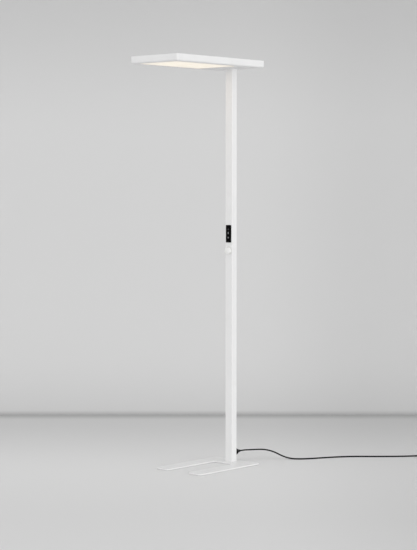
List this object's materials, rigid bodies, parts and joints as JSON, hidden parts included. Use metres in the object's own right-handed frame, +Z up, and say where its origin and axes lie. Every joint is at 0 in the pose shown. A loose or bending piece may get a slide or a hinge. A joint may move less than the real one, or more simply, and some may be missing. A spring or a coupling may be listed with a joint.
{
  "type": "office floor lamp",
  "caption": "Slim office floor lamp: flat rectangular lighting head on a rectangular post with push-key control panel and presence sensor, on a U-shaped steel foot",
  "frame": {"origin": "on the floor under the post's axis, on the underside of the foot's mat", "axes": "+Z up along the post, -Y to the front where the head and the foot's prongs reach, +X to the lamp's left seen from the front"},
  "size_m": [0.9149, 1.3871, 1.95],
  "materials": {
    "white_powder_coat": "fine matt white powder coat",
    "opal_pane": "opal acrylic, softly lit",
    "steel": "zinc plated",
    "aluminium": "mill finish",
    "black_gloss": "gloss black moulding",
    "white_plastic": "satin white moulding",
    "board": "circuit board",
    "black_rubber": "soft black",
    "black_mat": "thin foam mat",
    "brass_pin": "nickel plated brass"
  },
  "bodies": {
    "root": {"head_housing": "white_powder_coat", "head_top_cover": "white_powder_coat", "cover_screws": "steel", "downlight_diffuser": "opal_pane", "uplight_pane": "opal_pane", "led_carrier": "aluminium", "carrier_screws": "steel", "downlight_led_strips": "board", "uplight_led_strips": "board", "head_bracket": "aluminium", "bracket_screws": "steel", "led_driver": "white_plastic", "driver_screws": "steel", "terminal_block": "white_plastic", "driver_lead": "black_rubber", "post_tube": "white_powder_coat", "post_foot_block": "aluminium", "post_foot_screws": "steel", "post_head_screws": "steel", "control_panel": "black_gloss", "light_sensor_lens": "black_gloss", "key_switches": "black_gloss", "control_board": "board", "control_board_screws": "steel", "sensor_ring": "white_plastic", "sensor_dome": "white_plastic", "sensor_nut": "white_plastic", "sensor_board": "board", "motion_detector": "steel", "base_plate": "white_powder_coat", "base_underlay": "black_mat", "base_screws": "steel", "strain_relief": "black_rubber", "strain_relief_nut": "black_gloss", "inner_lead": "black_rubber", "mains_lead": "black_rubber", "mains_lead_coil": "black_rubber", "mains_lead_end": "black_rubber", "plug_body": "black_rubber", "plug_pins": "brass_pin"},
    "brighter_key": {"brighter_key": "black_gloss", "brighter_key_plunger": "black_gloss"},
    "dimmer_key": {"dimmer_key": "black_gloss", "dimmer_key_plunger": "black_gloss"}
  },
  "joints": [
    {"name": "brighter_key_press", "type": "slide", "parent": "root", "child": "brighter_key", "axis": [0, 1, 0], "range_m": [0, 0.0008], "stiffness_N_per_m": 800, "springref_m": -0.0005},
    {"name": "dimmer_key_press", "type": "slide", "parent": "root", "child": "dimmer_key", "axis": [0, 1, 0], "range_m": [0, 0.0008], "stiffness_N_per_m": 800, "springref_m": -0.0005}
  ]
}
